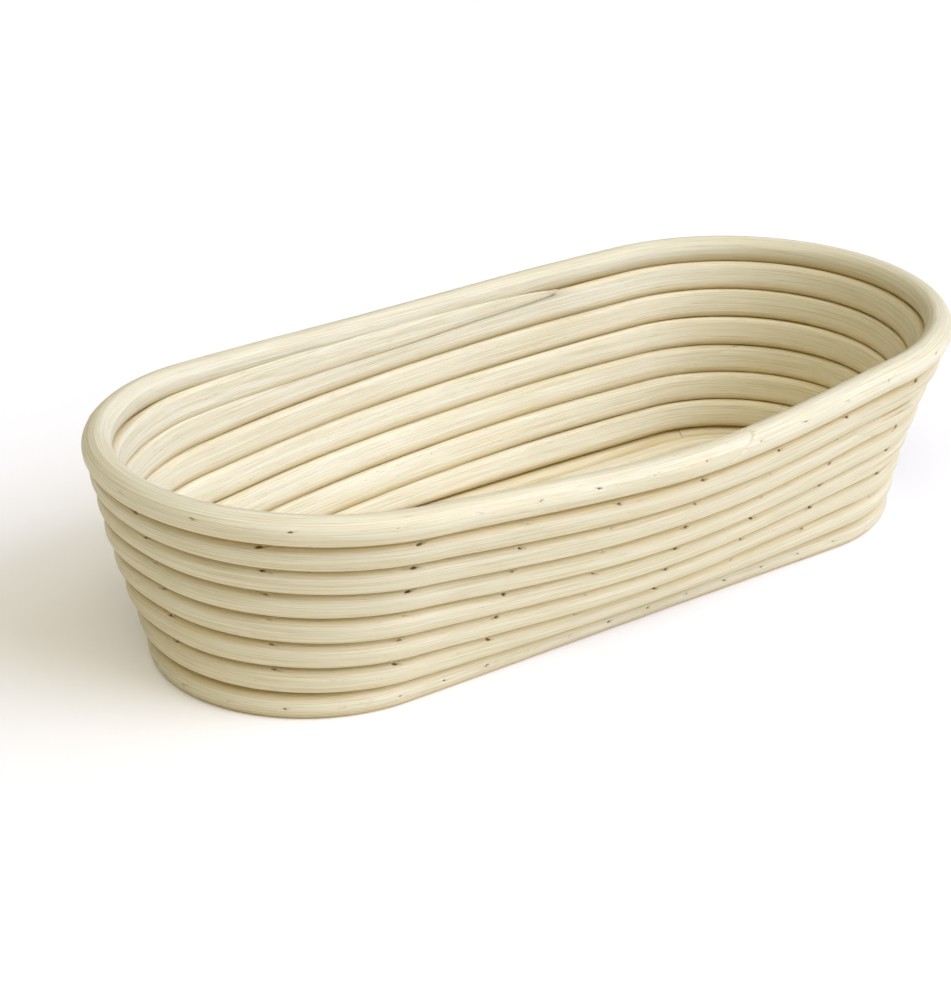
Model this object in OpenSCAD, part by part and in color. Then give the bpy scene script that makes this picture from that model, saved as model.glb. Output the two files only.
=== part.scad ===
// Long oval dough proofing basket of peeled round cane.
// Four flat floor loops lie inside a base ring. Three lengths of wall cane, spliced end to end,
// climb the wall in one spiral of six turns with a tapered start and a tapered end. A rim ring
// closes the top. Sunk wire brads nail each cane to its neighbour.
// Frame: X along the basket, Y across it, Z up, with the origin under the middle of the floor.
// Lengths are in millimetres and angles in degrees.

/* [Canes] */
// diameter of the floor, base and wall cane
cane_d = 10; // [8:0.5:12]
// diameter of the rim cane
rim_d = 9.6; // [8:0.1:13]
// clearance between canes that lie against each other
cane_gap = 0.1; // [0.06:0.02:0.3]
// clearance between cut cane ends that meet in a joint
joint_gap = 0.2; // [0.1:0.05:0.6]

/* [Floor] */
// length of the straight sides, shared by the floor loops and the base ring
straight_l = 186; // [150:2:240]
// bend radius of the innermost floor loop, at its centre line
inner_bend_r = 7.7; // [6:0.1:12]
// depth sanded off the underside of the floor and base canes
sanded = 0.9; // [0.5:0.1:2.5]
// where the base ring's butt joint lies, measured along it from the middle of the long side
butt_l = 105; // [0:1:330]

/* [Wall] */
// lean of the lowest wall row at the ends of the basket
lean_end_low_angle = 5; // [3:0.5:20]
// lean of the rim at the ends of the basket
lean_end_high_angle = 23; // [10:0.5:28]
// lean of the lowest wall row at the middle of the long sides
lean_side_low_angle = 33.5; // [15:0.5:42]
// lean of the rim at the middle of the long sides
lean_side_high_angle = 19; // [8:0.5:26]
// length of the tapered start and end of the wall spiral
taper_l = 183; // [120:1:190]
// where the tapers begin, measured along the base ring from the middle of the long side
taper_x = -120; // [-130:1:-60]
// thickness left at the tip of a taper
tip_t = 1.6; // [0.8:0.1:2.4]
// length of the stretch of wall that swells out beside the start of the tapers
swell_l = 84; // [60:2:120]
// middle of that stretch, measured along the base ring from the middle of the long side
swell_x = -130; // [-150:1:-90]
// lean that the swell adds to the lowest wall row and takes off the rim
swell_angle = 11; // [0:0.5:14]

/* [Splices] */
// length of the slanted splice between two wall canes
splice_l = 24; // [16:1:28]
// brads in the third turn that come before the lower splice
splice_low_n = 7; // [5:1:8]
// brads in the fifth turn that come before the upper splice
splice_high_n = 11; // [8:1:13]
// length of the slanted splice in the rim
rim_splice_l = 20; // [10:1:26]
// where the rim splice lies on the other long side, measured from its middle
rim_splice_x = 12; // [-60:1:60]

/* [Brads] */
// diameter of a brad's shank
brad_d = 1.2; // [0.9:0.1:1.6]
// diameter of a brad's head
head_d = 1.8; // [1.7:0.1:2.4]
// thickness of a brad's head
head_t = 0.6; // [0.4:0.1:1]
// share of the next cane's thickness that a brad reaches into
hold_share = 0.45; // [0.35:0.05:0.5]
// depth of the high edge of a brad's head below the surface of the cane
sunk = 0.4; // [0.3:0.1:0.8]
// clearance around a brad in its cane
brad_fit = 0.03; // [0.02:0.01:0.1]
// angle between a wall or rim brad and the line through the two canes it joins
drive_angle = 26; // [22:1:34]
// number of brads in the base ring
base_brads_n = 40; // [12:1:48]
// number of brads in each turn of the wall
wall_brads_n = 20; // [8:1:24]
// number of brads in the rim
rim_brads_n = 32; // [8:1:36]
// number of brads between two floor loops
floor_brads_n = 10; // [4:2:16]

/* [Hidden] */
$fn = 48;
turns = 6;
section_n = 10;
rings_n = 60;
pitch = cane_d + cane_gap;
half_l = straight_l / 2;
loop_1_r = inner_bend_r;
loop_2_r = loop_1_r + pitch;
loop_3_r = loop_2_r + pitch;
loop_4_r = loop_3_r + pitch;
base_r = loop_4_r + pitch;
axis_z = cane_d / 2 - sanded;
bend_l = PI * base_r;
lap = 2 * straight_l + 2 * bend_l;
quarter = lap / 4;
start_u = taper_l * (1 - sqrt(1 - tip_t / pitch));
spiral_l = turns * lap + taper_l;
wall_step = lap / wall_brads_n;
splice_low_u = 2 * lap + splice_low_n * wall_step;
splice_high_u = 4 * lap + splice_high_n * wall_step;
rim_joint = 2 * quarter - rim_splice_x;
floor_butt_l = butt_l + lap / 2;
flat_brad_l = cane_d - sunk + cane_gap + hold_share * cane_d;
wall_brad_l = brad_back(cane_d) + hold_share * cane_d * cos(drive_angle);
rim_brad_l = brad_back(rim_d) + hold_share * cane_d * cos(drive_angle);
rim_clear = rim_splice_l / 2 + head_d;
rim_step = (lap - 2 * rim_clear) / (rim_brads_n - 1);
splice_reach = 3;
end_cut = 0.76;
end_lap = 0.3;
end_square = 0.4;
cane_color = [0.93, 0.87, 0.72];
rim_color = [0.95, 0.90, 0.76];
steel_color = [0.62, 0.62, 0.63];

// The track is the centre line of the base ring. A distance l along it starts at the middle of the
// long side at +Y and runs clockwise seen from above.
function wrap(l) = l - lap * floor(l / lap);
function on_right_bend(l) = l > half_l && l < half_l + bend_l;
function on_near_side(l) = l >= half_l + bend_l && l <= 3 * half_l + bend_l;
function on_left_bend(l) = l > 3 * half_l + bend_l && l < 3 * half_l + 2 * bend_l;
function facing_at(l) =
    on_right_bend(l) ? 90 - 180 * (l - half_l) / bend_l :
    on_near_side(l) ? -90 :
    on_left_bend(l) ? -90 - 180 * (l - 3 * half_l - bend_l) / bend_l : 90;
function bend_x_at(l) =
    l <= half_l ? l :
    on_right_bend(l) ? half_l :
    on_near_side(l) ? 2 * half_l + bend_l - l :
    on_left_bend(l) ? -half_l : l - lap;
function facing(l) = facing_at(wrap(l));
function bend_x(l) = bend_x_at(wrap(l));

// Share of the long-side shape at l: one in the middle of a long side, none at the ends.
function side_share(l) = (1 + cos(180 * (1 - abs(wrap(2 * l) / 2 - quarter) / quarter))) / 2;

// Each row rests on the row under it and leans outward from it. Level 0 is the base ring, levels
// 1 to 6 are the turns of the wall and level 7 is the rim.
function blend(low, high, share) = low + (high - low) * share;
function lean(level, l) =
    blend(blend(lean_end_low_angle, lean_end_high_angle, (level - 1) / turns),
          blend(lean_side_low_angle, lean_side_high_angle, (level - 1) / turns), side_share(l))
    + swell_angle * swell_share(l) * cos(180 * (level - 1) / turns);
function swell_share(l) = (1 + cos(min(360 * abs(wrap(l - swell_x + lap / 2) - lap / 2) / swell_l, 180))) / 2;
function rise(level) = level > turns ? (cane_d + rim_d) / 2 + cane_gap : pitch;
function row_out(level, l) =
    level == 0 ? 0 : row_out(level - 1, l) + rise(level) * sin(lean(level, l));
function row_up(level, l) =
    level == 0 ? axis_z : row_up(level - 1, l) + rise(level) * cos(lean(level, l));

// Distance out from the base ring's centre line and height, at any level between two rows.
function level_out(level, l) =
    blend(row_out(floor(level), l), row_out(ceil(level), l), level - floor(level));
function level_up(level, l) =
    blend(row_up(floor(level), l), row_up(ceil(level), l), level - floor(level));
function spot(l, out, up) =
    [bend_x(l) + (base_r + out) * cos(facing(l)), (base_r + out) * sin(facing(l)), up];

// A distance u along the wall spiral gives its turn, how far it is along that turn's climb over the
// tapers, and its level. A climb is steep at first and eases off.
function turn(u) = min(floor(u / lap), turns);
function past(u) = min(max(u - turn(u) * lap, 0) / taper_l, 1);
function climb(u) = past(u) * (2 - past(u));
function spiral_level(u) =
    turn(u) == 0 ? 0.5 + climb(u) / 2 : turn(u) + climb(u) * (turn(u) == turns ? 0.5 : 1);

// A point on the skin of a row, across and along the line through the stacked rows.
function skin(level, l, across, along) =
    spot(l, level_out(level, l) + across * cos(lean(level, l)) + along * sin(lean(level, l)),
         level_up(level, l) - across * sin(lean(level, l)) + along * cos(lean(level, l)));

// Another row's centre in the same two directions, and the height left free under or over that row.
function beside(level, other, l) =
    let (out = level_out(other, l) - level_out(level, l), up = level_up(other, l) - level_up(level, l),
         tilt = lean(level, l))
    [out * cos(tilt) - up * sin(tilt), out * sin(tilt) + up * cos(tilt)];
function room(centre, reach, across) = abs(centre.y) - sqrt(max(reach ^ 2 - (across - centre.x) ^ 2, 0));

// The tapered end is cut away from outside. What is left lies in the groove inside the wall, between
// the rim and the row under it, and laps over both.
function end_across(u, a) =
    cane_d / 2 * ((1 - end_cut * past(u)) * (1 + cos(a)) - 1 - end_lap * past(u));
function end_height(u, a) =
    max(cane_d * sqrt(1 - past(u) ^ 2), tip_t) / 2 * abs(sin(a)) ^ (1 - end_square * past(u));
function end_room(u, a) =
    let (l = taper_x + u, level = spiral_level(u))
    sin(a) > 0 ? room(beside(level, turns + 1, l), rim_d / 2 + joint_gap, end_across(u, a)) :
    room(beside(level, turns - 1 + climb(u), l), cane_d / 2 + joint_gap, end_across(u, a));
function end_along(u, a) = sign(sin(a)) * min(end_height(u, a), end_room(u, a));

// One point on the skin of the wall spiral, a turned about its centre line.
function spiral_share(u) = turn(u) == 0 ? climb(u) : 1;
function spiral_skin(u, a) =
    turn(u) == turns ? skin(spiral_level(u), taper_x + u, end_across(u, a), end_along(u, a)) :
    skin(spiral_level(u), taper_x + u, cane_d / 2 * cos(a), cane_d / 2 * spiral_share(u) * sin(a));

// Distance along a spliced cane, slanted towards its ends so that they meet on a sloping cut.
function slant(u, from, to, from_l, to_l, a) =
    u + sin(a) / 2 * (from_l * fade(u - from, from_l) + to_l * fade(to - u, to_l));
function fade(distance, length) = length == 0 ? 0 : max(0, 1 - distance / (splice_reach * length));

function section_angle(i) = 90 + 360 * i / section_n;
function tube_faces(rings) = concat(
    [[for (i = [0 : section_n - 1]) i]],
    [for (k = [0 : rings - 2], i = [0 : section_n - 1])
        [k * section_n + i, (k + 1) * section_n + i, k * section_n + (i + 1) % section_n]],
    [for (k = [0 : rings - 2], i = [0 : section_n - 1])
        [k * section_n + (i + 1) % section_n, (k + 1) * section_n + i,
         (k + 1) * section_n + (i + 1) % section_n]],
    [[for (i = [0 : section_n - 1]) rings * section_n - 1 - i]]);

// A length of the wall spiral from one distance to another, with slanted ends where it is spliced.
module wall_length(from, to, from_l, to_l) {
    rings = ceil((to - from) / lap * rings_n);
    polyhedron(
        points = [for (k = [0 : rings - 1], i = [0 : section_n - 1])
            let (u = from + (to - from) * k / (rings - 1), a = section_angle(i))
            spiral_skin(slant(u, from, to, from_l, to_l, a), a)],
        faces = tube_faces(rings));
}

// The rim cane, one lap long with both ends slanted into its splice.
module rim_length() {
    from = rim_joint + joint_gap / 2;
    to = from + lap - joint_gap;
    polyhedron(
        points = [for (k = [0 : rings_n], i = [0 : section_n - 1])
            let (u = from + (to - from) * k / rings_n, a = section_angle(i))
            skin(turns + 1, slant(u, from, to, rim_splice_l, rim_splice_l, -a),
                 rim_d / 2 * cos(a), rim_d / 2 * sin(a))],
        faces = tube_faces(rings_n + 1));
}

// Cross section of a flat-laid cane with its sanded underside on the ground.
module sanded_section() {
    intersection() {
        translate([0, axis_z]) circle(d = cane_d);
        translate([-cane_d, 0]) square([2 * cane_d, cane_d]);
    }
}
module flat_bend(r, from, to) {
    rotate([0, 0, from]) rotate_extrude(angle = to - from) translate([r, 0]) sanded_section();
}
module flat_run(y, from, to) {
    translate([from, y, 0]) rotate([90, 0, 90]) linear_extrude(to - from) sanded_section();
}

// A flat loop of cane with a butt joint at a distance along it. The base ring's joint and those of the
// floor loops lie on opposite sides.
module flat_loop(r, joint_l) {
    difference() {
        union() {
            flat_run(-r, -half_l, half_l);
            flat_run(r, -half_l, half_l);
            translate([-half_l, 0, 0]) flat_bend(r, 90, 270);
            translate([half_l, 0, 0]) flat_bend(r, -90, 90);
        }
        place(joint_l, r - base_r, axis_z, 0) cube([pitch, joint_gap, 2 * cane_d], center = true);
    }
}

// A brad with the top of its head at the origin and its shank down. The hole is the same brad with
// its clearance, open above the head so that it can be driven in.
module pin(length, fit, above) {
    rotate_extrude()
        polygon([[0, above], [head_d / 2 + fit, above], [head_d / 2 + fit, -head_t - fit],
                 [brad_d / 2 + fit, -head_t - fit], [brad_d / 2 + fit, -length - fit], [0, -length - fit]]);
}
module brad(length) {
    pin(length, 0, 0);
}
module brad_hole(length) {
    pin(length, brad_fit, sunk + head_d);
}

// Puts a brad at l, out from the base ring's centre line and up, driven from an angle off upright.
module place(l, out, up, drive) {
    translate(spot(l, out, up)) rotate([0, 0, facing(l)]) rotate([0, drive, 0]) children();
}

// Distance back from the contact of two rows to the head of a brad driven through it.
function brad_back(row_d) = row_d * cos(drive_angle) - head_d / 2 * tan(drive_angle) - sunk;

// Puts a brad through the contact of a row and the row under it.
module place_in_row(level, l, row_d) {
    tilt = lean(level, l);
    drive = tilt + drive_angle;
    back = brad_back(row_d);
    under = row_d / 2 + cane_gap / 2;
    place(l, level_out(level, l) - under * sin(tilt) + back * sin(drive),
          level_up(level, l) - under * cos(tilt) + back * cos(drive), drive)
        children();
}
// The first two turns have no brads over the tapered start, which is too thin to hold them.
module in_wall_turn(number) {
    for (i = [0 : wall_brads_n - 1]) {
        v = (i + 0.5) * wall_step;
        u = (number - 1) * lap + v;
        if (number > 2 || v > taper_l + head_d)
            place_in_row(spiral_level(u), taper_x + u, cane_d) children();
    }
}
// The rim has no brads over the tapered end.
module in_rim() {
    for (i = [0 : rim_brads_n - 1]) {
        l = rim_joint + rim_clear + i * rim_step;
        if (wrap(l - taper_x) > taper_l + head_d)
            place_in_row(turns + 1, l, rim_d) children();
    }
}
// A flat loop has its first brad a share of their spacing past its butt joint. The shares differ
// from loop to loop, so that no brad meets one in the next loop.
module in_flat_loop(r, count, share) {
    for (i = [0 : count - 1])
        place(butt_l + (i + share) * lap / count, r - base_r + cane_d / 2 - sunk, axis_z, 90) children();
}
module in_loop_2() {
    in_flat_loop(loop_2_r, floor_brads_n, 1 / 4) children();
}
module in_loop_3() {
    in_flat_loop(loop_3_r, floor_brads_n, 3 / 4) children();
}
module in_loop_4() {
    in_flat_loop(loop_4_r, floor_brads_n, 1 / 4) children();
}
module in_base_ring() {
    in_flat_loop(base_r, base_brads_n, 1 / 2) children();
}

module wall_holes(first, last) {
    for (number = [first : last]) in_wall_turn(number) brad_hole(wall_brad_l);
}
module rim_holes() {
    in_rim() brad_hole(rim_brad_l);
}

module floor_loop_1() {
    color(cane_color) difference() {
        flat_loop(loop_1_r, floor_butt_l);
        in_loop_2() brad_hole(flat_brad_l);
    }
}
module floor_loop_2() {
    color(cane_color) difference() {
        flat_loop(loop_2_r, floor_butt_l);
        in_loop_2() brad_hole(flat_brad_l);
        in_loop_3() brad_hole(flat_brad_l);
    }
}
module floor_loop_3() {
    color(cane_color) difference() {
        flat_loop(loop_3_r, floor_butt_l);
        in_loop_3() brad_hole(flat_brad_l);
        in_loop_4() brad_hole(flat_brad_l);
    }
}
module floor_loop_4() {
    color(cane_color) difference() {
        flat_loop(loop_4_r, floor_butt_l);
        in_loop_4() brad_hole(flat_brad_l);
        in_base_ring() brad_hole(flat_brad_l);
    }
}
module base_ring() {
    color(cane_color) difference() {
        flat_loop(base_r, butt_l);
        in_base_ring() brad_hole(flat_brad_l);
        in_wall_turn(1) brad_hole(wall_brad_l);
    }
}
module wall_cane_1() {
    color(cane_color) difference() {
        wall_length(start_u, splice_low_u - joint_gap / 2, 0, splice_l);
        wall_holes(1, 4);
    }
}
module wall_cane_2() {
    color(cane_color) difference() {
        wall_length(splice_low_u + joint_gap / 2, splice_high_u - joint_gap / 2, splice_l, splice_l);
        wall_holes(3, 6);
    }
}
module wall_cane_3() {
    color(cane_color) difference() {
        wall_length(splice_high_u + joint_gap / 2, spiral_l, splice_l, 0);
        wall_holes(5, 6);
        rim_holes();
    }
}
module rim_ring() {
    color(rim_color) difference() {
        rim_length();
        rim_holes();
    }
}
module floor_brads_1() {
    color(steel_color) in_loop_2() brad(flat_brad_l);
}
module floor_brads_2() {
    color(steel_color) in_loop_3() brad(flat_brad_l);
}
module floor_brads_3() {
    color(steel_color) in_loop_4() brad(flat_brad_l);
}
module base_brads() {
    color(steel_color) in_base_ring() brad(flat_brad_l);
}
module wall_brads_1() {
    color(steel_color) in_wall_turn(1) brad(wall_brad_l);
}
module wall_brads_2() {
    color(steel_color) in_wall_turn(2) brad(wall_brad_l);
}
module wall_brads_3() {
    color(steel_color) in_wall_turn(3) brad(wall_brad_l);
}
module wall_brads_4() {
    color(steel_color) in_wall_turn(4) brad(wall_brad_l);
}
module wall_brads_5() {
    color(steel_color) in_wall_turn(5) brad(wall_brad_l);
}
module wall_brads_6() {
    color(steel_color) in_wall_turn(6) brad(wall_brad_l);
}
module rim_brads() {
    color(steel_color) in_rim() brad(rim_brad_l);
}

floor_loop_1();
floor_loop_2();
floor_loop_3();
floor_loop_4();
base_ring();
wall_cane_1();
wall_cane_2();
wall_cane_3();
rim_ring();
floor_brads_1();
floor_brads_2();
floor_brads_3();
base_brads();
wall_brads_1();
wall_brads_2();
wall_brads_3();
wall_brads_4();
wall_brads_5();
wall_brads_6();
rim_brads();
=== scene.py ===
import math

import bpy
import numpy as np
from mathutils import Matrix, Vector


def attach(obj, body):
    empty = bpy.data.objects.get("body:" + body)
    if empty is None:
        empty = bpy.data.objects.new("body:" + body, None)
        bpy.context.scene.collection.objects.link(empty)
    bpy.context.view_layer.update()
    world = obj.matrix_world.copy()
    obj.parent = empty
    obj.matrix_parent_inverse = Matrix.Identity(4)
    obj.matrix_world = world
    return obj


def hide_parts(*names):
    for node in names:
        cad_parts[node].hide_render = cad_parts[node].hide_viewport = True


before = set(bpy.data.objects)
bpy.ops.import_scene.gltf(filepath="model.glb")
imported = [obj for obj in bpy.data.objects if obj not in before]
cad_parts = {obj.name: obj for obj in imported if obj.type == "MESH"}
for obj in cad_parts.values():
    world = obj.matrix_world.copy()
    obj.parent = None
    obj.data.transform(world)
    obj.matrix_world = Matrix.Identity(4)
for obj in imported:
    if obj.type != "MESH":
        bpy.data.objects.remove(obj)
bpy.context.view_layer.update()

# A long oval proofing basket of peeled cane. The canes are swept again along the lines of the packed
# solids, finer and with the unevenness, nail pits, torn fibres and cut ends of real cane.
# Lengths are in millimetres and angles in degrees until a mesh is made, which is in metres.

MM = 0.001

# The canes, the rows they are stacked in, and the tracks of the base ring and of the floor loops
CANE_R = 5.0
RIM_R = 4.8
PITCH = 10.1
RIM_RISE = CANE_R + RIM_R + 0.1
TURNS = 6
HALF = 93.0
LOOP_R = [7.7, 17.8, 27.9, 38.0]
BASE_R = 48.1
AXIS_Z = 4.1
SANDED = -math.degrees(math.asin(AXIS_Z / CANE_R))
BEND = math.pi * BASE_R
LAP = 4 * HALF + 2 * BEND
QUARTER = LAP / 4
RIGHT_BEND, NEAR_SIDE, LEFT_BEND = HALF, HALF + BEND, 3 * HALF + BEND

# Lean of the first row at the ends and on the long sides, its change up to the rim, and the bulge at the left
END_LEAN, END_GAIN = 5.0, 18.0
SIDE_LEAN, SIDE_LOSS = 33.5, 14.5
BULGE_AT, BULGE_LENGTH, BULGE_LEAN = -130.0, 84.0, 11.0

# Tapered ends of the wall spiral: where they lie, how thin they get, and how the upper one is cut and laid
TAPER_X = -120.0
TAPER_L = 183.0
TAPER_GAP = 0.4
TIP = 1.6
TIP_CUT, TIP_LAP, TIP_POWER = 0.76, 0.3, 0.6
START_U = TAPER_L * (1 - math.sqrt(1 - TIP / PITCH))
SPIRAL_L = TURNS * LAP + TAPER_L

# Brads, and the joints that are placed between them
WALL_BRADS, BASE_BRADS, RIM_BRADS = 20, 40, 32
BRAD_CLEAR = 1.8
JOINT = 0.1
BUTT_L = 105.0
SPLICE_L = 24.0
WALL_STEP = LAP / WALL_BRADS
SPLICE_LOW = 2 * LAP + 7 * WALL_STEP
SPLICE_HIGH = 4 * LAP + 11 * WALL_STEP
RIM_SPLICE_L = 20.0
RIM_JOINT = 2 * QUARTER - 12
RIM_CLEAR = RIM_SPLICE_L / 2 + BRAD_CLEAR
RIM_STEP = (LAP - 2 * RIM_CLEAR) / (RIM_BRADS - 1)

# Section of the wall rows, and what keeps parts of the skin clear of the painted shade by the grooves
SWELL = 0.13
PRESSED, PRESSED_INSIDE = 0.84, 0.44
UNSHADED_SIDE, INSIDE_EDGE, BOTTOM_SHADE_DROP = 1.4, 2.4, 20
NO_EDGE = 9.0

# Nail pits: their angle round the section, how large they are and how dark the painted shade in them is, how
# far one can reach, and the torn strip and the raised lip by each
RIM_PIT, WALL_PIT, BASE_PIT = 38.0, 53.0, 0.0
WALL_PIT_LOOK, RING_PIT_LOOK = (1.0, 0.95), (0.75, 0.6)
PIT_LONG, PIT_WIDE = 6, 4
TEAR_DEPTH, TEAR_AT, TEAR_LONG, TEAR_WIDE = 0.2, 1.2, 1.7, 0.4
LIP_HEIGHT, LIP_AT, LIP_WIDE = 0.14, 1.4, 0.35
NO_PIT = 99.0

# Spacing of the mesh
AROUND, FLOOR_AROUND = 44, 36
RING_STEP, FLAT_RING_STEP, LEAST_STEP = 2.2, 2.4, 0.05
PIT_RINGS = np.array([-2.6, -1.9, -1.35, -0.95, -0.6, -0.3, 0, 0.3, 0.6, 0.95, 1.35, 1.9, 2.6])
END_RINGS = PIT_RINGS[PIT_RINGS > 0]
FINE_REACH, FINE_STEP, FINE_CLEAR = 15, 3, 17
SHARP = 55

# Unevenness: waves in a random line, shares of the radius, how far a row strays out and up, depth and reach
# of the rounding at cut ends, and the twist of the grain along a cane
WAVES = 9
THICK, OVAL, LOBE = 0.007, 0.006, 0.005
RING_UNEVEN = 0.8
WALL_STRAY, RIM_STRAY = (0.16, 0.06), (0.25, 0.12)
WALL_ROUND, RIM_ROUND, FLAT_ROUND = (0.12, 0.3), (0.3, 0.4), (0.2, 0.3)
TWIST = 0.0009
GRAIN_SPAN = 300

# Torn fibres: a thin section, as (side, height) of its corners, swept over some stations from a root sunk in
# the skin
STATIONS = 7
ROOT = 0.04
RIDGE = ((-1, 0.0), (0, 0.09), (1, 0.0), (0, -0.09))
CORNERS = len(RIDGE)


# The track is the centre line of the base ring: l runs clockwise from the middle of the +Y side.

def by_part(l, far, right, near, left, last):
    """Picks by the part of the track: far side, right bend, near side, left bend, rest of the far side."""
    return np.select([l <= RIGHT_BEND, l < NEAR_SIDE, l <= LEFT_BEND, l < LEFT_BEND + BEND],
                     [far, right, near, left], last)


def facing(l):
    """Angle that the track's outer side faces, from +X towards +Y."""
    l = np.mod(l, LAP)
    right, left = 90 - 180 * (l - RIGHT_BEND) / BEND, -90 - 180 * (l - LEFT_BEND) / BEND
    return by_part(l, 90.0, right, -90.0, left, 90.0)


def bend_x(l):
    """X of the point from which the track's radius is measured."""
    l = np.mod(l, LAP)
    return by_part(l, l, HALF, 2 * HALF + BEND - l, -HALF, l - LAP)


def lean(level, l):
    """Angle in radians by which a row leans out from the row under it."""
    side = (1 + np.cos(np.pi * (1 - np.abs(np.mod(2 * l, LAP) / 2 - QUARTER) / QUARTER))) / 2
    high = (level - 1) / TURNS
    end_lean, side_lean = END_LEAN + END_GAIN * high, SIDE_LEAN - SIDE_LOSS * high
    away = np.abs(np.mod(l - BULGE_AT + LAP / 2, LAP) - LAP / 2)
    bulge = (1 + np.cos(np.minimum(2 * np.pi * away / BULGE_LENGTH, np.pi))) / 2
    return np.radians(end_lean + (side_lean - end_lean) * side + BULGE_LEAN * bulge * np.cos(np.pi * high))


def stack(level, l):
    """Distance out from the base ring's centre line and height, at any level between two rows."""
    out, up = np.zeros_like(l), np.full_like(l, AXIS_Z)
    for k in range(1, TURNS + 2):
        share = np.clip(level - (k - 1), 0, 1)
        step = share * (PITCH if k <= TURNS else RIM_RISE)
        out, up = out + step * np.sin(lean(k, l)), up + step * np.cos(lean(k, l))
    return out, up


def spot(l, out, up, r=BASE_R):
    """Point at a distance out from a track of radius r and at a height."""
    a = np.radians(facing(l))
    return np.stack([bend_x(l) + (r + out) * np.cos(a), (r + out) * np.sin(a), up], -1)


def row_skin(level, l, across, along):
    """Points on a row's skin, across and along the line through the stacked rows."""
    out, up = stack(level, l)
    tilt = lean(level, l)
    out = out + across * np.cos(tilt) + along * np.sin(tilt)
    return spot(l, out, up - across * np.sin(tilt) + along * np.cos(tilt))


def shifted(points, l, out, up):
    """Points of a row moved away from the basket's middle and up."""
    away = np.radians(facing(l))
    return points + np.stack([np.cos(away) * out, np.sin(away) * out, up], -1)


def powered(value, power):
    return np.sign(value) * np.abs(value) ** power


def pressed(a):
    """Section of a wall row for a unit radius, a little square and more so inside the wall."""
    c, s = np.cos(np.radians(a)), np.sin(np.radians(a))
    power = np.where(c > 0, PRESSED, PRESSED_INSIDE)
    return powered(c, power), powered(s, power), power


def room(level, other, l, reach, across):
    """Height left free at a row by the row at another level."""
    (out, up), (other_out, other_up) = stack(level, l), stack(other, l)
    out, up, tilt = other_out - out, other_up - up, lean(level, l)
    x, z = out * np.cos(tilt) - up * np.sin(tilt), out * np.sin(tilt) + up * np.cos(tilt)
    return np.abs(z) - np.sqrt(np.maximum(reach ** 2 - (across - x) ** 2, 0))


def spiral(u, a, r):
    """Level of the wall spiral at a distance u along it, and its section there. The tapered end is cut
    away from outside and laps over the groove inside the wall."""
    turn = np.clip(np.floor(u / LAP), 0, TURNS)
    t = np.clip((u - turn * LAP) / TAPER_L, 0, 1)
    climb = t * (2 - t)
    level = np.where(turn == 0, 0.5 + climb / 2, turn + climb * np.where(turn == TURNS, 0.5, 1))
    c, s, power = pressed(a)
    share = np.where(turn == 0, climb, 1)
    across, along = r * c, r * share * s
    end_across = r * ((1 - TIP_CUT * t) * (1 + c) - 1 - TIP_LAP * t)
    height = np.maximum(r * np.sqrt(1 - t ** 2), TIP / 2) * np.abs(s) ** (1 + (TIP_POWER / power - 1) * t)
    l = TAPER_X + u
    under_rim = room(level, np.full_like(u, TURNS + 1.0), l, RIM_R + TAPER_GAP, end_across)
    over_row = room(level, TURNS - 1 + climb, l, CANE_R + TAPER_GAP, end_across)
    end_along = np.sign(s) * np.minimum(height, np.where(s > 0, under_rim, over_row))
    end = turn == TURNS
    return level, np.where(end, end_across, across), np.where(end, end_along, along)


def round_section(a, r):
    return r * np.cos(np.radians(a)), r * np.sin(np.radians(a))


# Unevenness

def wander(seed, short, long):
    """A smooth random line of unit size whose waves are between short and long."""
    g = np.random.default_rng(seed)
    pace = 2 * np.pi / np.exp(g.uniform(np.log(short), np.log(long), WAVES))
    phase = g.uniform(0, 2 * np.pi, WAVES)
    return lambda s: np.sin(s[..., None] * pace + phase).sum(-1) / math.sqrt(WAVES / 2)


def uneven(u, a, seed):
    """Share by which a cane's radius varies along it and round it."""
    thick, oval, lobe = wander(seed, 40, 260), wander(seed + 1, 60, 300), wander(seed + 2, 50, 200)
    turn = np.radians(a)
    return THICK * thick(u) + OVAL * oval(u) * np.cos(2 * turn + seed) + LOBE * lobe(u) * np.cos(3 * turn)


def grain_of(u, across, along, seed):
    """Place in the cane's grain, which twists a little along it."""
    g = np.random.default_rng(seed)
    c, s = np.cos(u * TWIST), np.sin(u * TWIST)
    return np.stack([across * c - along * s + g.uniform(0, GRAIN_SPAN),
                     across * s + along * c + g.uniform(0, GRAIN_SPAN), u], -1)


def smooth(low, high, x):
    t = np.clip((x - low) / (high - low), 0, 1)
    return t * t * (3 - 2 * t)


def rounded(ends, depth, reach):
    """Skin taken off by the rounding of a cut end, by the distance from that end."""
    return -depth * np.exp(-ends / reach)


def section_angles(around, focus=None):
    """Angles round a cane's section, closer together about the line of its nail pits."""
    a = np.arange(around) * 360 / around - 180
    if focus is not None:
        fine = focus + np.arange(-FINE_REACH, FINE_REACH + 0.1, FINE_STEP)
        a = np.concatenate([a[np.abs(a - focus) > FINE_CLEAR], fine])
    return np.sort(a)


def ring_places(start, end, step, marks):
    """Distances of the rings along a cane, closer together at its nail pits and ends."""
    places = [np.linspace(start, end, int((end - start) / step)), start + END_RINGS, end - END_RINGS]
    places += [m + PIT_RINGS for m in marks]
    u = np.sort(np.concatenate(places))
    u = u[(u >= start) & (u <= end)]
    return u[np.concatenate([[True], np.diff(u) > LEAST_STEP])]


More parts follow.
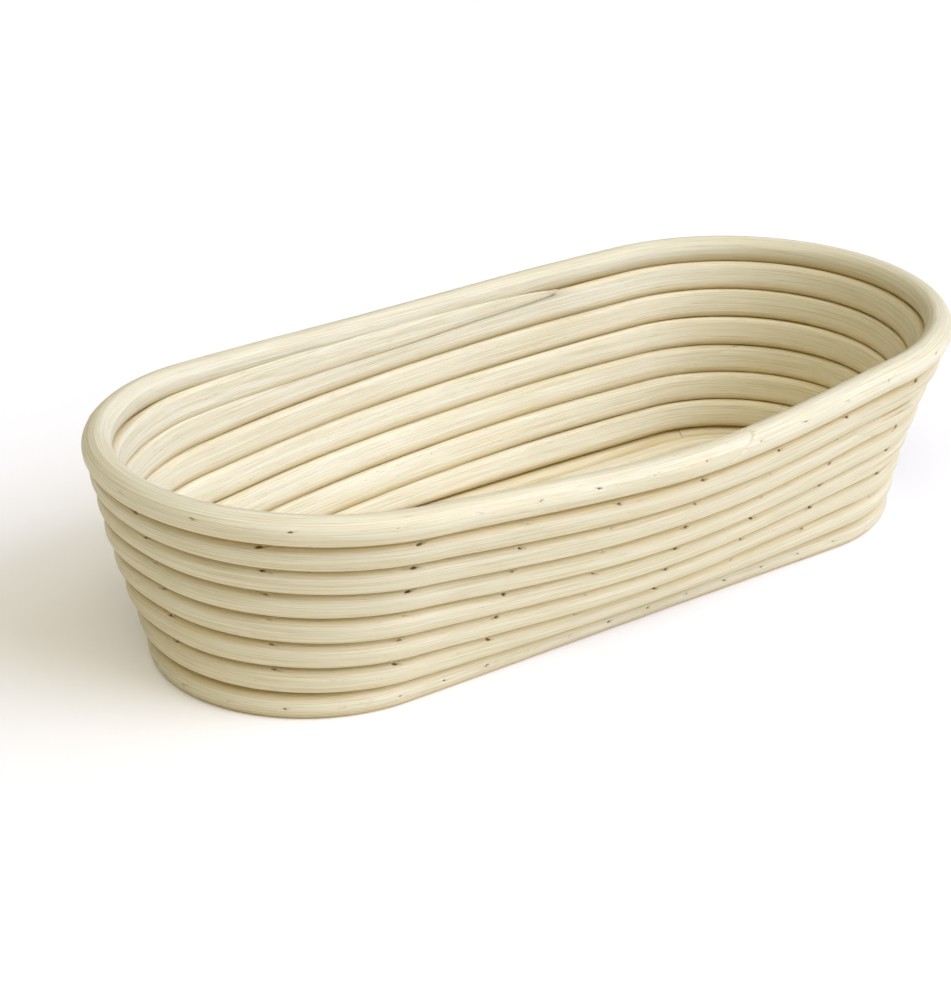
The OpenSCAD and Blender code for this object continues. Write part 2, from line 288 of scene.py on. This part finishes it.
def pits(u, across, marks, size, dark, seed):
    """Depth of the nail pits at each point, and the place of each point about the nearest pit with how
    dark the painted shade in that pit is. Across is the distance of a point from the line of the pits."""
    depth = np.zeros_like(u)
    place = np.stack([np.full_like(u, NO_PIT), np.full_like(u, NO_PIT), np.zeros_like(u)], -1)
    g = np.random.default_rng(seed)
    for m in marks:
        wide, tall = size * g.uniform(0.9, 1.5), size * g.uniform(0.45, 0.65)
        open_share = g.choice([0.2, 0.6, 0.9, 1.0])
        tail, tilt, deep = g.choice([-1, 1]), g.uniform(-0.35, 0.35), open_share * g.uniform(0.5, 0.8)
        along = u - m
        close = (np.abs(along) < PIT_LONG) & (np.abs(across) < PIT_WIDE)
        s, t = along[close], across[close] - tilt * along[close]
        q = np.sqrt((s / wide) ** 2 + (t / tall) ** 2)
        pit = deep * (1 - smooth(0.35, 1.15, q))
        strip = np.sqrt(((s - tail * TEAR_AT) / TEAR_LONG) ** 2 + (t / TEAR_WIDE) ** 2)
        tear = TEAR_DEPTH * (1 - smooth(0.2, 1.0, strip))
        lip = LIP_HEIGHT * np.exp(-((q - LIP_AT) / LIP_WIDE) ** 2)
        depth[close] = np.maximum(pit, tear) - lip
        place[close] = np.stack([s * tail / size, t / size, np.full_like(s, dark * open_share)], -1)
    return depth, place


def torn_about(marks, pit_angle, seed, count=3):
    """Places of the short torn fibres about nail pits."""
    g = np.random.default_rng(seed)
    places = []
    for m in marks:
        for _ in range(g.integers(1, count + 1)):
            way = g.choice([-1, 1])
            places.append((m + way * g.uniform(0.2, 0.9), pit_angle + g.uniform(-8, 8),
                           way * g.uniform(0.7, 2.0), g.uniform(0.2, 0.42), g.uniform(0.05, 0.4),
                           g.uniform(-12, 12), g.uniform(0.4, 1.0), NO_EDGE))
    return places


# Meshes

def new_mesh(name, points, faces, grain, pit, raw, edge):
    mesh = bpy.data.meshes.new(name)
    mesh.from_pydata((points * MM).tolist(), [], faces)
    for key, kind, values in (("grain", "FLOAT_VECTOR", grain), ("pit", "FLOAT_VECTOR", pit),
                              ("raw", "FLOAT", raw), ("edge", "FLOAT", edge)):
        layer = mesh.attributes.new(key, kind, "POINT")
        layer.data.foreach_set("vector" if kind == "FLOAT_VECTOR" else "value",
                               np.ascontiguousarray(values, np.float32).ravel())
    mesh.polygons.foreach_set("use_smooth", [True] * len(mesh.polygons))
    mesh.set_sharp_from_angle(angle=math.radians(SHARP))
    mesh.update()
    return mesh


class Cane:
    """Collects the points of one swept cane and of the torn fibres on it. It stands in for the solid of
    the same name."""

    def __init__(self, name, slot, material):
        self.name, self.slot, self.material = name, slot, material
        self.points, self.faces, self.grain, self.pit, self.raw, self.edge = [], [], [], [], [], []
        self.count = 0

    def add(self, points, faces, grain, pit, raw, edge):
        self.points.append(points)
        self.faces += [[i + self.count for i in f] for f in faces]
        self.grain.append(grain)
        self.pit.append(pit)
        self.raw.append(raw)
        self.edge.append(edge)
        self.count += len(points)

    def tube(self, points, grain, pit, edge):
        """A grid of rings by section points, with a flat cap at each end."""
        rings, n = points.shape[:2]
        k, i = np.meshgrid(np.arange(rings - 1), np.arange(n), indexing="ij")
        j = (i + 1) % n
        quads = np.stack([k * n + i, k * n + j, (k + 1) * n + j, (k + 1) * n + i], -1).reshape(-1, 4)
        caps = [list(range(n))[::-1], list(range((rings - 1) * n, rings * n))]
        self.add(points.reshape(-1, 3), quads.tolist() + caps, grain.reshape(-1, 3), pit.reshape(-1, 3),
                 np.zeros(rings * n), edge.ravel())

    def slivers(self, skin, places, seed):
        """Torn fibres: each is a thin ridge that starts in the cane's skin and lifts off along it.
        A place is (distance, angle, length, width, lift, drift, raw, edge)."""
        g = np.random.default_rng(seed)
        t = np.linspace(0, 1, STATIONS)
        n, last = CORNERS, (STATIONS - 1) * CORNERS
        faces = [[k * n + i, k * n + (i + 1) % n, (k + 1) * n + (i + 1) % n, (k + 1) * n + i]
                 for k in range(STATIONS - 1) for i in range(n)]
        faces += [list(range(n))[::-1], list(range(last, last + n))]
        ones = np.ones(STATIONS * n)
        pit = np.stack([NO_PIT * ones, NO_PIT * ones, 0 * ones], -1)
        for u0, a0, length, width, lift, drift, raw, edge in places:
            u = u0 + length * t
            a = a0 + drift * t + g.uniform(-2, 2) * np.sin(np.pi * t)
            half = np.degrees(width / 2 * np.clip(1 - t, 0.06, 1) ** 0.6 / CANE_R)
            rise = lift * t ** 1.6 - ROOT
            rows = [skin(u, a + side * half, rise + high * (1 - 0.6 * t)) for side, high in RIDGE]
            grain = np.stack([np.tile([0, 0.3, 0.6, 0.3], STATIONS) + g.uniform(0, 9),
                              np.repeat(a, n) * 0.09, np.repeat(u, n)], -1)
            self.add(np.stack(rows, 1).reshape(-1, 3), faces, grain, pit, raw * ones, edge * ones)

    def finish(self):
        mesh = new_mesh(self.name, np.concatenate(self.points), self.faces, np.concatenate(self.grain),
                        np.concatenate(self.pit), np.concatenate(self.raw), np.concatenate(self.edge))
        mesh.materials.append(self.material)
        piece = bpy.data.objects.new(self.name, mesh)
        bpy.context.scene.collection.objects.link(piece)
        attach(piece, "root")
        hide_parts(self.name)


# Materials

class Shader:
    """A material built from nodes, where an input is a number, a colour or another node's output."""

    def __init__(self, name):
        self.material = bpy.data.materials.new(name)
        self.material.use_nodes = True
        self.tree = self.material.node_tree
        self.tree.nodes.clear()

    def node(self, kind, settings=None, **inputs):
        """A new node. An input is given by its name, with _ for a space, or by i and its number."""
        made = self.tree.nodes.new(kind)
        for key, value in (settings or {}).items():
            setattr(made, key, value)
        for key, value in inputs.items():
            name = key.replace("_", " ")
            socket = made.inputs[int(key[1:])] if key[0] == "i" and key[1:].isdigit() else made.inputs[name]
            if isinstance(value, bpy.types.NodeSocket):
                self.tree.links.new(value, socket)
            else:
                socket.default_value = value
        return made

    def attribute(self, name, output):
        return self.node("ShaderNodeAttribute", {"attribute_name": name}).outputs[output]

    def math(self, operation, a, b=0.0, c=0.0):
        return self.node("ShaderNodeMath", {"operation": operation}, i0=a, i1=b, i2=c).outputs[0]

    def oval(self, x, y, half_x, half_y):
        """Distance from the middle of an oval, 1 on its edge."""
        x, y = self.math("DIVIDE", x, half_x), self.math("DIVIDE", y, half_y)
        return self.math("SQRT", self.math("ADD", self.math("POWER", x, 2.0), self.math("POWER", y, 2.0)))

    def stretched(self, vector, scale, detail, rough=0.55):
        """Noise from 0 to 1 on a vector stretched by scale."""
        at = self.node("ShaderNodeVectorMath", {"operation": "MULTIPLY"}, i0=vector, i1=scale).outputs[0]
        noise = self.node("ShaderNodeTexNoise", Vector=at, Scale=1.0, Detail=detail, Roughness=rough)
        return noise.outputs["Fac"]

    def ramp(self, value, low, high, to_low=0.0, to_high=1.0):
        return self.node("ShaderNodeMapRange", {"interpolation_type": "SMOOTHSTEP"}, Value=value,
                         From_Min=low, From_Max=high, To_Min=to_low, To_Max=to_high).outputs["Result"]

    def mix(self, factor, a, b):
        return self.node("ShaderNodeMix", {"data_type": "RGBA"}, i0=factor, i6=a, i7=b).outputs[2]

    def output(self, shader):
        self.node("ShaderNodeOutputMaterial", Surface=shader)
        return self.material


def rgb(r, g, b):
    """A colour written in sRGB from 0 to 255, as the linear colour that Blender uses."""
    shares = (r / 255, g / 255, b / 255)
    return (*(v / 12.92 if v <= 0.04045 else ((v + 0.055) / 1.055) ** 2.4 for v in shares), 1.0)


PALE_FIBRE, BLOTCH = rgb(250, 246, 230), rgb(232, 214, 172)
FLECK, SPECK = rgb(184, 156, 104), rgb(158, 112, 62)
# Painted shade by the grooves: a tan band, and a darker line that has some dirt in it.
GROOVE_SIDE_SHADE, GROOVE_DIRT_AND_SHADE = rgb(212, 182, 104), rgb(146, 112, 56)
# The last of these is painted shade in the hollows of the nail pits.
RAW_FIBRE, TORN, PIT_HOLLOW_SHADE = rgb(250, 244, 226), rgb(176, 138, 82), rgb(108, 80, 42)
CLEAN_STEEL, DULL_STEEL = rgb(150, 146, 140), rgb(92, 78, 64)


def cane_material(name, light, mid, dark):
    """Peeled cane: streaked along its grain, with painted shade and some dirt by the grooves, torn at the
    nail pits, with painted shade in their hollows.
    """
    s = Shader(name)
    grain = s.attribute("grain", "Vector")
    raw, edge = s.attribute("raw", "Fac"), s.attribute("edge", "Fac")
    pit = s.node("ShaderNodeSeparateXYZ", i0=s.attribute("pit", "Vector")).outputs
    broad = s.stretched(grain, (0.7, 0.7, 0.006), 3.0)
    streak = s.stretched(grain, (3.4, 3.4, 0.016), 2.0, 0.6)
    fine = s.stretched(grain, (5.5, 5.5, 0.035), 3.0, 0.65)
    blotch = s.stretched(grain, (0.09, 0.09, 0.02), 2.0)
    fleck = s.stretched(grain, (3.0, 3.0, 0.22), 2.0, 0.5)
    speck = s.stretched(grain, (0.5, 0.5, 0.3), 2.0, 0.5)

    colour = s.mix(s.ramp(broad, 0.3, 0.7), light, mid)
    colour = s.mix(s.ramp(streak, 0.49, 0.62, 0.0, 0.36), colour, dark)
    colour = s.mix(s.ramp(fine, 0.5, 0.62, 0.0, 0.5), colour, dark)
    colour = s.mix(s.ramp(fine, 0.5, 0.36, 0.0, 0.45), colour, PALE_FIBRE)
    colour = s.mix(s.ramp(blotch, 0.52, 0.72, 0.0, 0.2), colour, BLOTCH)
    colour = s.mix(s.ramp(fleck, 0.7, 0.77, 0.0, 0.4), colour, FLECK)
    colour = s.mix(s.ramp(speck, 0.78, 0.83, 0.0, 0.6), colour, SPECK)
    # Painted shade by the grooves: a tan band on the side of each groove where the next row shades the cane.
    groove_shade_reach = s.math("ADD", edge, s.math("MULTIPLY_ADD", streak, 2.4, -1.2))
    colour = s.mix(s.ramp(groove_shade_reach, 5.6, 1.4, 0.0, 0.72), colour, GROOVE_SIDE_SHADE)
    # A dark line in each groove: painted shade, with some dirt.
    colour = s.mix(s.ramp(groove_shade_reach, 1.3, 0.5, 0.0, 0.65), colour, GROOVE_DIRT_AND_SHADE)
    colour = s.mix(s.math("MULTIPLY", raw, 0.8), colour, RAW_FIBRE)

    ragged = s.math("MULTIPLY_ADD", fleck, 1.6, -0.8)
    # Painted shade in the hollow of each nail pit, darker where the pit is open and deep.
    pit_shade_mask = s.ramp(s.math("ADD", s.oval(pit[0], pit[1], 0.9, 0.58), ragged), 1.05, 0.55)
    strip = s.oval(s.math("SUBTRACT", pit[0], 1.0), pit[1], 1.9, 0.5)
    torn = s.ramp(s.math("ADD", strip, ragged), 1.0, 0.5)
    colour = s.mix(s.math("MULTIPLY", torn, s.math("MULTIPLY", pit[2], 0.4)), colour, TORN)
    colour = s.mix(s.math("MULTIPLY", pit_shade_mask, pit[2]), colour, PIT_HOLLOW_SHADE)

    height = s.math("ADD", s.math("MULTIPLY", streak, 0.8), s.math("MULTIPLY", fine, 0.6))
    height = s.math("SUBTRACT", height, s.ramp(fleck, 0.66, 0.76, 0.0, 0.5))
    bump = s.node("ShaderNodeBump", Strength=0.8, Distance=0.00025, Height=height).outputs[0]
    rough = s.ramp(s.math("ADD", fine, blotch), 0.7, 1.3, 0.42, 0.6)
    shader = s.node("ShaderNodeBsdfPrincipled", Base_Color=colour, Roughness=rough, Normal=bump,
                    Specular_IOR_Level=0.5)
    return s.output(shader.outputs[0])


def steel_material():
    s = Shader("brad_steel")
    at = s.node("ShaderNodeTexCoord").outputs["Object"]
    grime = s.node("ShaderNodeTexNoise", Vector=at, Scale=900.0, Detail=4.0).outputs["Fac"]
    colour = s.mix(s.ramp(grime, 0.4, 0.65), CLEAN_STEEL, DULL_STEEL)
    bump = s.node("ShaderNodeBump", Strength=0.3, Distance=0.00005, Height=grime).outputs[0]
    shader = s.node("ShaderNodeBsdfPrincipled", Base_Color=colour, Normal=bump, Metallic=0.9,
                    Roughness=s.ramp(grime, 0.3, 0.7, 0.35, 0.6))
    return s.output(shader.outputs[0])


CANE = cane_material("peeled_cane", rgb(239, 236, 218), rgb(231, 225, 200), rgb(203, 186, 139))
RIM = cane_material("peeled_cane_rim", rgb(240, 237, 219), rgb(233, 228, 205), rgb(206, 190, 145))


# Wall canes

WALL_MARKS = np.array([turn * LAP + (i + 0.5) * WALL_STEP
                       for turn in range(TURNS) for i in range(WALL_BRADS)
                       if turn > 1 or (i + 0.5) * WALL_STEP > TAPER_L + BRAD_CLEAR])
WALL_OUT, WALL_UP = wander(61, 70, 420), wander(62, 70, 420)


def slant(u, start, end, start_l, end_l, height):
    """Distances along a cane moved so that its ends are cut at a slant of the given lengths."""
    def fade(distance, length):
        return np.clip(1 - distance / (3 * length), 0, None) if length else 0
    return u + height / 2 * (start_l * fade(u - start, start_l) + end_l * fade(end - u, end_l))


def wall_cane(name, start, end, start_l, end_l, seed):
    """A length of the wall spiral and its skin. A slant of no length stands for a tapered end."""
    def skin(u, a, lift):
        level, across, along = spiral(u, a, CANE_R * (1 + uneven(u, a, seed)) + SWELL)
        l, turn = TAPER_X + u, np.radians(a)
        points = row_skin(level, l, across + lift * np.cos(turn), along + lift * np.sin(turn))
        return shifted(points, l, WALL_STRAY[0] * WALL_OUT(u), WALL_STRAY[1] * WALL_UP(u))

    cane = Cane(name, "cane", CANE)
    marks = WALL_MARKS[(WALL_MARKS > start) & (WALL_MARKS < end)]
    places = ring_places(start, end, RING_STEP, marks)
    u, a = np.meshgrid(places, section_angles(AROUND, WALL_PIT), indexing="ij")
    rounding = rounded(np.minimum(u - start, end - u), *WALL_ROUND) if start_l and end_l else 0
    u = slant(u, start, end, start_l, end_l, pressed(a)[1])
    depth, place = pits(u, CANE_R * np.radians(a - WALL_PIT), marks, *WALL_PIT_LOOK, seed + 5)
    _, across, along = spiral(u, a, CANE_R)
    # Distance to the nearest groove, which sets the painted shade there. Inside the wall it is taken up the
    # height. The outer upper half and the inner lower half stay nearer the painted shade, and the other
    # halves are kept lighter.
    from_top = CANE_R - np.abs(along)
    edge = np.where(across < 0, INSIDE_EDGE + from_top, np.hypot(across, from_top))
    edge = edge + np.where(across * along < 0, UNSHADED_SIDE, 0)
    cane.tube(skin(u, a, rounding - depth), grain_of(u, across, along, seed), place, edge)
    cane.slivers(skin, torn_about(marks, WALL_PIT, seed + 6), seed + 7)
    return cane, skin


low, _ = wall_cane("wall_cane_1", START_U, SPLICE_LOW - JOINT / 2, 0.0, SPLICE_L, 100)
middle, middle_skin = wall_cane("wall_cane_2", SPLICE_LOW + JOINT / 2, SPLICE_HIGH - JOINT / 2,
                                SPLICE_L, SPLICE_L, 120)
top, top_skin = wall_cane("wall_cane_3", SPLICE_HIGH + JOINT / 2, SPIRAL_L, SPLICE_L, 0.0, 140)

# The torn end of the middle length at the upper splice, and the frayed tip of the spiral's tapered end
g = np.random.default_rng(31)
torn = [(SPLICE_HIGH - 2 - g.uniform(0, 9), g.uniform(28, 62), -g.uniform(5, 13), g.uniform(0.3, 0.7),
         g.uniform(0.1, 0.5), g.uniform(-8, 8), 0.1, g.uniform(1.0, 3.0)) for _ in range(7)]
middle.slivers(middle_skin, torn, 33)
frayed = [(SPIRAL_L - g.uniform(0.5, 6), g.uniform(120, 235), g.uniform(3, 11), g.uniform(0.25, 0.6),
           g.uniform(0.0, 0.3), g.uniform(-10, 10), g.uniform(0.2, 1.0), NO_EDGE) for _ in range(18)]
top.slivers(top_skin, frayed, 35)
for cane in (low, middle, top):
    cane.finish()


# Rim

RIM_MARKS = RIM_JOINT + RIM_CLEAR + np.arange(RIM_BRADS) * RIM_STEP
RIM_MARKS = RIM_MARKS[np.mod(RIM_MARKS - TAPER_X, LAP) > TAPER_L + BRAD_CLEAR]


def rim_ring(seed):
    """The ring on top of the wall, closed by a slanted splice."""
    rim_out, rim_up = wander(seed + 1, 80, 500), wander(seed + 2, 80, 500)

    def skin(u, a, lift):
        r, turn = RIM_R * (1 + RING_UNEVEN * uneven(u, a, seed)) + SWELL / 2 + lift, np.radians(a)
        points = row_skin(np.full_like(u, TURNS + 1.0), u, r * np.cos(turn), r * np.sin(turn))
        return shifted(points, u, RIM_STRAY[0] * rim_out(u), RIM_STRAY[1] * rim_up(u))

    cane = Cane("rim_ring", "rim_cane", RIM)
    start, end = RIM_JOINT + JOINT / 2, RIM_JOINT + LAP - JOINT / 2
    places = ring_places(start, end, RING_STEP, RIM_MARKS)
    u, a = np.meshgrid(places, section_angles(AROUND, RIM_PIT), indexing="ij")
    rounding = rounded(np.minimum(u - start, end - u), *RIM_ROUND)
    u = slant(u, start, end, RIM_SPLICE_L, RIM_SPLICE_L, -np.sin(np.radians(a)))
    depth, place = pits(u, RIM_R * np.radians(a - RIM_PIT), RIM_MARKS, *RING_PIT_LOOK, seed + 5)
    # Distance from the underside, where the rim sits on the wall, which sets the painted shade along that
    # groove.
    edge = RIM_R * np.radians(np.abs(a + 90))
    cane.tube(skin(u, a, rounding - depth), grain_of(u, *round_section(a, RIM_R), seed + 6), place, edge)
    cane.slivers(skin, torn_about(RIM_MARKS, RIM_PIT, seed + 7, 5), seed + 8)
    cane.finish()


rim_ring(170)


# Base ring and floor, sanded flat underneath

def flat_cane(name, r, butt, marks, seed, around):
    """A closed loop of cane with a butt joint, on a track of radius r."""
    def skin(l, a, lift):
        radius, turn = CANE_R * (1 + RING_UNEVEN * uneven(l, a, seed)) + lift, np.radians(a)
        return spot(l, radius * np.cos(turn), np.maximum(AXIS_Z + radius * np.sin(turn), 0), r)

    cane = Cane(name, "cane", CANE)
    arc = section_angles(around, BASE_PIT if len(marks) else None)
    arc = np.concatenate([[SANDED], arc[(arc > SANDED + 3) & (arc < 180)], np.arange(180, 177 - SANDED, 9),
                          [180 - SANDED]])
    start, end = butt + JOINT / 2, butt + LAP - JOINT / 2
    l, a = np.meshgrid(ring_places(start, end, FLAT_RING_STEP, marks), arc, indexing="ij")
    rounding = rounded(np.clip(np.minimum(l - start, end - l), 0, None), *FLAT_ROUND)
    depth, place = pits(l, CANE_R * np.radians(a - BASE_PIT), marks, *RING_PIT_LOOK, seed + 5)
    # Distances from the grooves with the row above and the next loop, and from a line just below the sanded
    # edge, set the painted shade along them. The bottom one is painted shadow where the ring meets the floor.
    outer_groove = 90 - np.degrees(lean(1, l)) if r == BASE_R else 0
    grooves = (outer_groove, 180, SANDED - BOTTOM_SHADE_DROP)
    edge = CANE_R * np.radians(np.min([np.abs(a - at) for at in grooves], 0))
    grain = grain_of(l * r / BASE_R, *round_section(a, CANE_R), seed)
    cane.tube(skin(l, a, rounding - depth), grain, place, edge)
    if len(marks):
        cane.slivers(skin, torn_about(marks, BASE_PIT, seed + 6, 4), seed + 7)
    cane.finish()


BASE_MARKS = BUTT_L + (np.arange(BASE_BRADS) + 0.5) * LAP / BASE_BRADS
flat_cane("base_ring", BASE_R, BUTT_L, BASE_MARKS, 200, AROUND)
for k, r in enumerate(LOOP_R):
    flat_cane(f"floor_loop_{k + 1}", r, BUTT_L + LAP / 2, np.array([]), 220 + 10 * k, FLOOR_AROUND)

steel = steel_material()
for name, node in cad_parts.items():
    if "brads" in name:
        node.data.materials.clear()
        node.data.materials.append(steel)


# Floor, light and camera

FLOOR_GLOW = 0.12
FLOOR_REACH = 6
FLOOR_BOUNCE = rgb(249, 245, 234)
FLOOR_SEEN = (0.92, 0.925, 0.985, 1), (0.93, 0.935, 0.995, 1)
AMBIENT = 0.11
WARM, COOL = (1.0, 0.92, 0.69), (0.965, 1.0, 1.17)
LENS, SENSOR = 106.406, 36.0
CAMERA_AT = Vector((-0.575435, -0.709034, 0.436689))
CAMERA_TO = Vector((-0.019929, 0.008189, 0.027984))


def linked(name, data):
    made = bpy.data.objects.new(name, data)
    bpy.context.scene.collection.objects.link(made)
    return made


def floor_material():
    """Pale floor with the basket's shadow, white where it is lit and seen. It throws a creamy light back."""
    s = Shader("pale_floor")
    at = s.node("ShaderNodeTexCoord").outputs["Object"]
    cloud = s.node("ShaderNodeTexNoise", Vector=at, Scale=3.0, Detail=3.0).outputs["Fac"]
    seen = s.node("ShaderNodeLightPath").outputs["Is Camera Ray"]
    plain = s.mix(s.ramp(cloud, 0.3, 0.7), *FLOOR_SEEN)
    lit = s.node("ShaderNodeBsdfDiffuse", Color=s.mix(seen, FLOOR_BOUNCE, plain)).outputs[0]
    glow = s.node("ShaderNodeEmission", Color=(1, 1, 1, 1), Strength=s.math("MULTIPLY", seen, FLOOR_GLOW))
    return s.output(s.node("ShaderNodeAddShader", i0=lit, i1=glow.outputs[0]).outputs[0])


def sun_light(name, azimuth, elevation, spread, share, colour):
    """A soft far light that gives its share of a white floor. Its azimuth is from +X towards +Y."""
    lamp = bpy.data.lights.new(name, "SUN")
    a, e = math.radians(azimuth), math.radians(elevation)
    lamp.angle, lamp.energy = math.radians(spread), share * math.pi / math.sin(e)
    lamp.color = colour
    holder = linked(name, lamp)
    place = Vector((math.cos(a) * math.cos(e), math.sin(a) * math.cos(e), math.sin(e)))
    holder.location = place
    holder.rotation_euler = (-place).to_track_quat("-Z", "Y").to_euler()


def studio_world():
    """A weak warm light from all round, which the camera sees as white."""
    world = bpy.data.worlds.new("studio")
    world.use_nodes = True
    tree = world.node_tree
    tree.nodes.clear()
    path = tree.nodes.new("ShaderNodeLightPath")
    pick, out = tree.nodes.new("ShaderNodeMixShader"), tree.nodes.new("ShaderNodeOutputWorld")
    tree.links.new(path.outputs["Is Camera Ray"], pick.inputs[0])
    for k, (colour, strength) in enumerate(((WARM, AMBIENT), ((1, 1, 1), 1.0))):
        sky = tree.nodes.new("ShaderNodeBackground")
        sky.inputs["Color"].default_value, sky.inputs["Strength"].default_value = (*colour, 1), strength
        tree.links.new(sky.outputs[0], pick.inputs[k + 1])
    tree.links.new(pick.outputs[0], out.inputs[0])
    return world


sun_light("overhead", -130, 74, 60, 0.25, WARM)
sun_light("key", -61, 36, 45, 0.38, COOL)
sun_light("side", -12, 44, 40, 0.10, COOL)
sun_light("fill", -155, 60, 50, 0.18, WARM)
bpy.context.scene.world = studio_world()

mesh = bpy.data.meshes.new("floor")
mesh.from_pydata([(x * FLOOR_REACH, y * FLOOR_REACH, 0) for x, y in ((-1, -1), (1, -1), (1, 1), (-1, 1))],
                 [], [(0, 1, 2, 3)])
mesh.materials.append(floor_material())
floor = linked("floor", mesh)

lens = bpy.data.cameras.new("camera")
lens.lens, lens.sensor_width = LENS, SENSOR
camera = linked("camera", lens)
camera.location = CAMERA_AT
camera.rotation_euler = (CAMERA_TO - CAMERA_AT).to_track_quat("-Z", "Y").to_euler()
bpy.context.scene.camera = camera
bpy.context.scene.view_settings.view_transform = "Standard"
